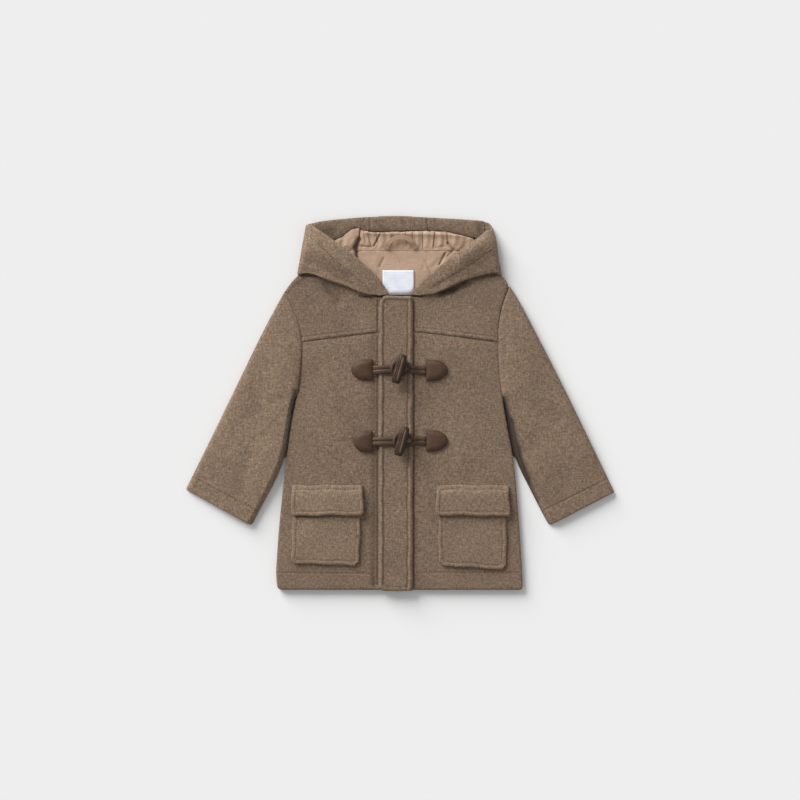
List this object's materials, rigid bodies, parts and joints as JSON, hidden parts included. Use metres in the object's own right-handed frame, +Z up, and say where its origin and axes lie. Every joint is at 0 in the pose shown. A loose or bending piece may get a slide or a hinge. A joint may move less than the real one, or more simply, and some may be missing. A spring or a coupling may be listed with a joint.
{
  "type": "child's hooded duffle coat",
  "caption": "Small child's hooded duffle coat in melange wool, laid flat on its back, with barrel toggles on leather loops, a front yoke and flapped patch pockets.",
  "frame": {"origin": "on the floor under the middle of the coat's outline", "axes": "+X towards the wearer's left across the sleeves, +Y from the hem to the hood, +Z up from the floor"},
  "size_m": [0.5576, 0.4872, 0.0312],
  "materials": {
    "wool": "melange taupe-brown boiled wool, soft nap",
    "lining": "beige satin-faced cotton, slight sheen",
    "ribbon": "blank woven satin label, cool white",
    "leather": "dark brown imitation leather, semi-gloss",
    "toggle": "dark brown imitation horn, semi-gloss"
  },
  "bodies": {
    "root": {"back": "wool", "cord_lower_left": "leather", "cord_lower_right": "leather", "cord_upper_left": "leather", "cord_upper_right": "leather", "flap_left": "wool", "flap_right": "wool", "front_left": "wool", "front_right": "wool", "hang_loop": "lining", "hood_centre": "wool", "hood_facing": "wool", "hood_lining": "lining", "hood_side_left": "wool", "hood_side_right": "wool", "neck_label": "ribbon", "neck_lining": "lining", "patch_lower_left": "leather", "patch_lower_right": "leather", "patch_upper_left": "leather", "patch_upper_right": "leather", "placket": "wool", "pocket_left": "wool", "pocket_right": "wool", "sleeve_left": "wool", "sleeve_right": "wool", "toggle_lower": "toggle", "toggle_upper": "toggle", "yoke_left": "wool", "yoke_right": "wool"}
  },
  "joints": []
}
